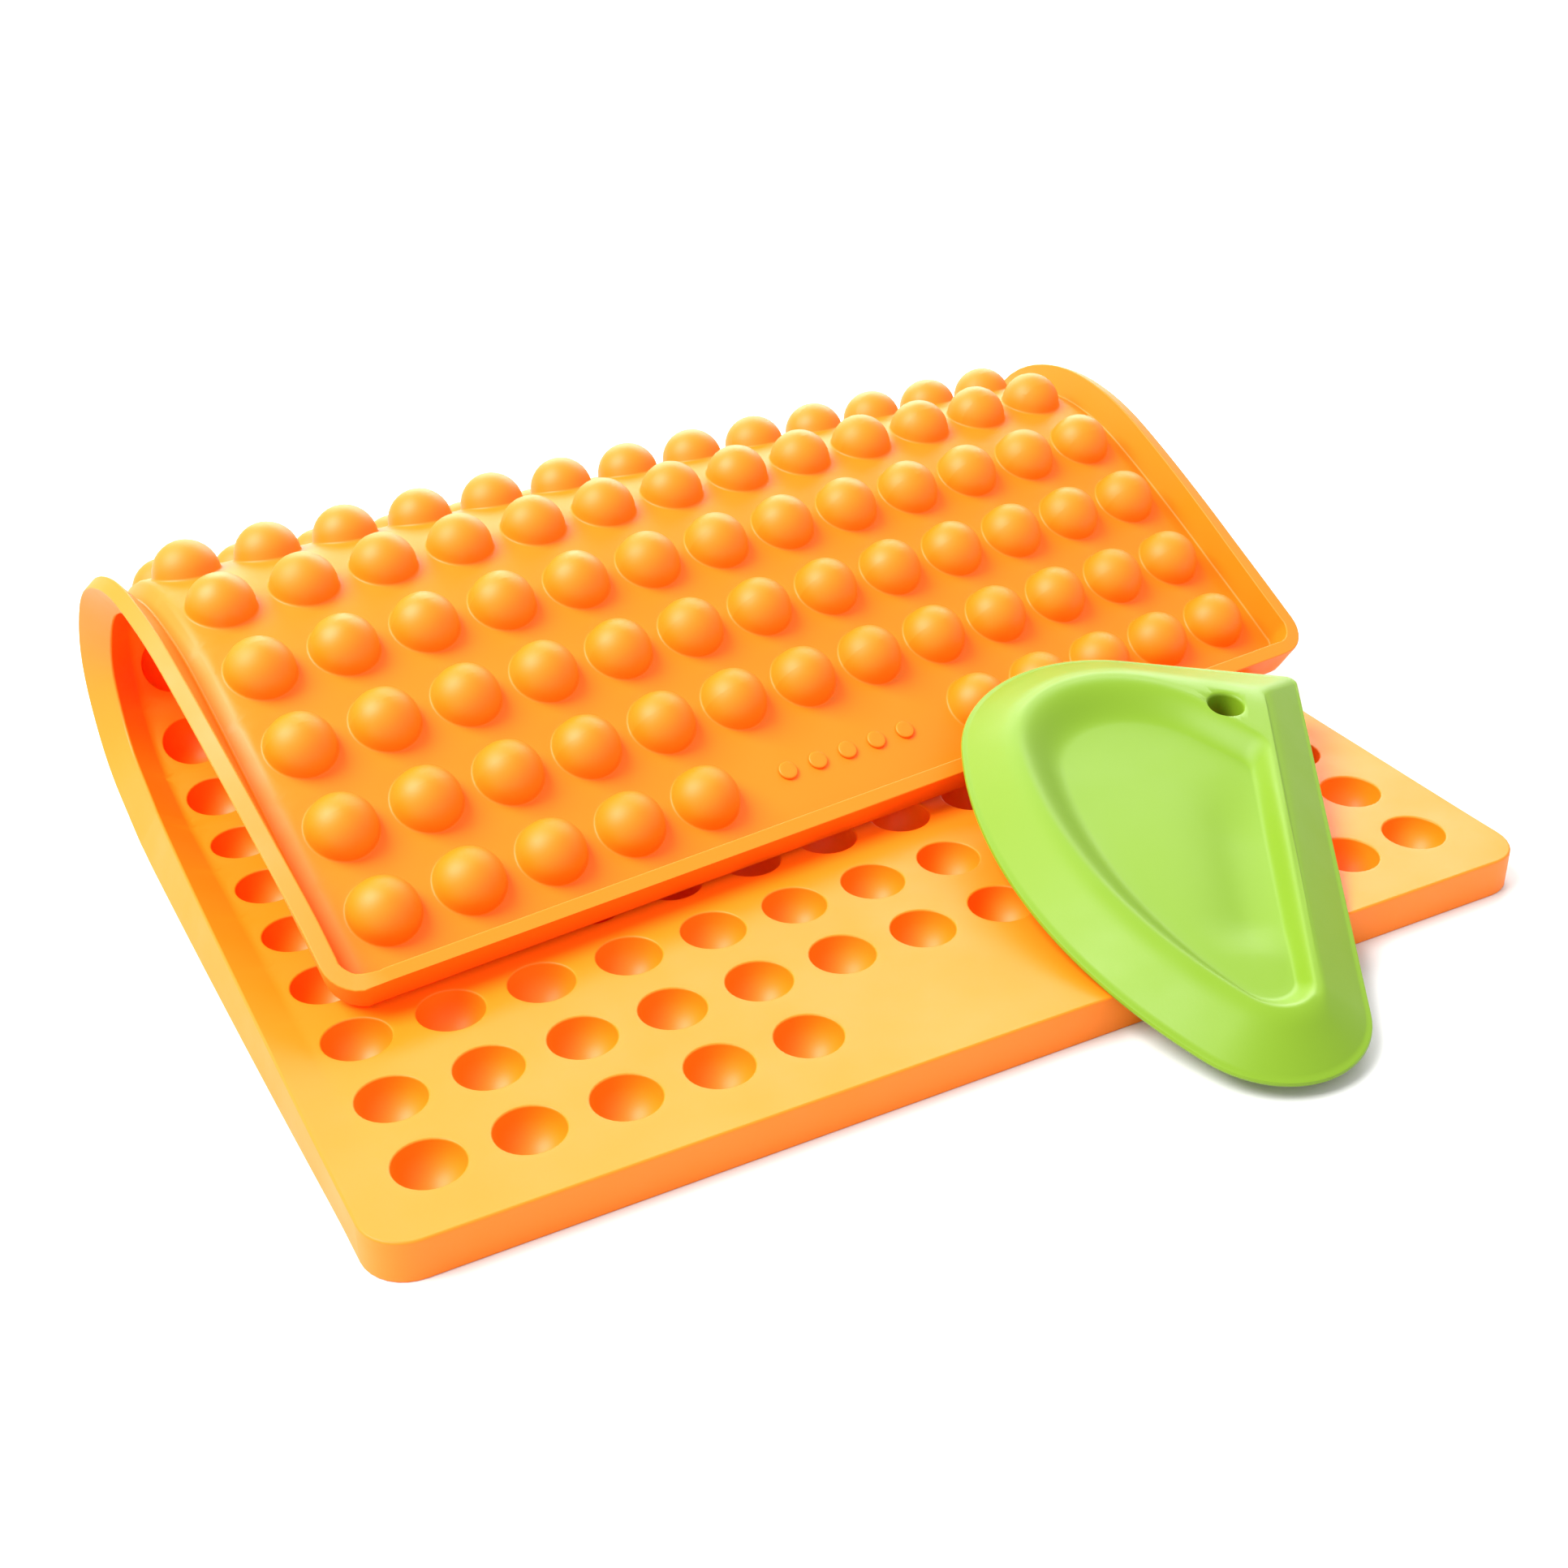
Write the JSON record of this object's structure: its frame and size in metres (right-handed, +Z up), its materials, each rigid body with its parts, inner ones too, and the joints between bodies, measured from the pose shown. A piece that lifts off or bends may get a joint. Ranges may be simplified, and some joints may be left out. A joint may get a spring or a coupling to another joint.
{
  "type": "baking mould mat with dough scraper",
  "caption": "Half-sphere silicone mould mat folded over on itself, with a D-shaped dough scraper lying across the folded-over edge.",
  "frame": {"origin": "middle of the front rim underside of the lower half, on the table", "axes": "+X across the mat to the right, +Y towards the fold, +Z up"},
  "size_m": [0.3039, 0.2864, 0.0774],
  "materials": {
    "mat": "satin",
    "scraper": "satin"
  },
  "bodies": {
    "base": {"mat_row_01": "mat", "mat_row_02": "mat", "mat_row_03": "mat", "mat_row_04": "mat", "mat_row_05": "mat", "mat_row_06": "mat", "mat_row_07": "mat"},
    "bend_08": {"mat_row_08": "mat"},
    "bend_09": {"mat_row_09": "mat"},
    "bend_10": {"mat_row_10": "mat"},
    "bend_11": {"mat_row_11": "mat"},
    "bend_12": {"mat_row_12": "mat"},
    "bend_13": {"mat_row_13": "mat"},
    "bend_14": {"mat_row_14": "mat"},
    "bend_15": {"mat_row_15": "mat"},
    "flap": {"mat_row_16": "mat", "mat_row_17": "mat"},
    "scraper": {"scraper": "scraper"}
  },
  "joints": [
    {"name": "fold_07", "type": "hinge", "parent": "base", "child": "bend_08", "pos_m": [0, 0.16562, 0.0098], "axis": [-1, 0, 0], "range_deg": [0, 8.5]},
    {"name": "fold_08", "type": "hinge", "parent": "bend_08", "child": "bend_09", "pos_m": [0, 0.18812, 0.01316], "axis": [-0.9945, -0.1034, -0.0154], "range_deg": [0, 3.5]},
    {"name": "fold_09", "type": "hinge", "parent": "bend_09", "child": "bend_10", "pos_m": [0, 0.21038, 0.01789], "axis": [-0.9977, -0.0677, -0.0079], "range_deg": [0, 41]},
    {"name": "fold_10", "type": "hinge", "parent": "bend_10", "child": "bend_11", "pos_m": [0.00048, 0.22411, 0.03602], "axis": [-0.9981, -0.0614, 0.0005], "range_deg": [0, 61.5]},
    {"name": "fold_11", "type": "hinge", "parent": "bend_11", "child": "bend_12", "pos_m": [0.00238, 0.2148, 0.05669], "axis": [-0.9978, -0.0657, 0.01], "range_deg": [0, 45.5]},
    {"name": "fold_12", "type": "hinge", "parent": "bend_12", "child": "bend_13", "pos_m": [0.00493, 0.19357, 0.06446], "axis": [-0.9971, -0.0755, 0.0136], "range_deg": [0, 29.5]},
    {"name": "fold_13", "type": "hinge", "parent": "bend_13", "child": "bend_14", "pos_m": [0.0074, 0.17127, 0.0607], "axis": [-0.9962, -0.0858, 0.0119], "range_deg": [0, 17.4]},
    {"name": "fold_14", "type": "hinge", "parent": "bend_14", "child": "bend_15", "pos_m": [0.00961, 0.1511, 0.0504], "axis": [-0.9954, -0.0951, 0.0072], "range_deg": [0, 3]},
    {"name": "fold_15", "type": "hinge", "parent": "bend_15", "child": "flap", "pos_m": [0.01176, 0.1315, 0.03906], "axis": [-0.9946, -0.1042, 0.0019], "range_deg": [0, 2]},
    {"name": "scraper_swing", "type": "hinge", "parent": "flap", "child": "scraper", "pos_m": [-0.00402, 0.0766, 0.01581], "axis": [0.9985, 0.0544, -0.0099], "range_deg": [0, 201.47]}
  ],
  "couplings": [
    {"joint": "fold_07", "follows": "fold_10", "ratio": 0.13821},
    {"joint": "fold_08", "follows": "fold_10", "ratio": 0.056911},
    {"joint": "fold_09", "follows": "fold_10", "ratio": 0.66667},
    {"joint": "fold_11", "follows": "fold_10", "ratio": 0.73984},
    {"joint": "fold_12", "follows": "fold_10", "ratio": 0.47968},
    {"joint": "fold_13", "follows": "fold_10", "ratio": 0.28293},
    {"joint": "fold_14", "follows": "fold_10", "ratio": 0.04878},
    {"joint": "fold_15", "follows": "fold_10", "ratio": 0.03252},
    {"joint": "scraper_swing", "follows": "fold_10", "ratio": 3.2759}
  ]
}
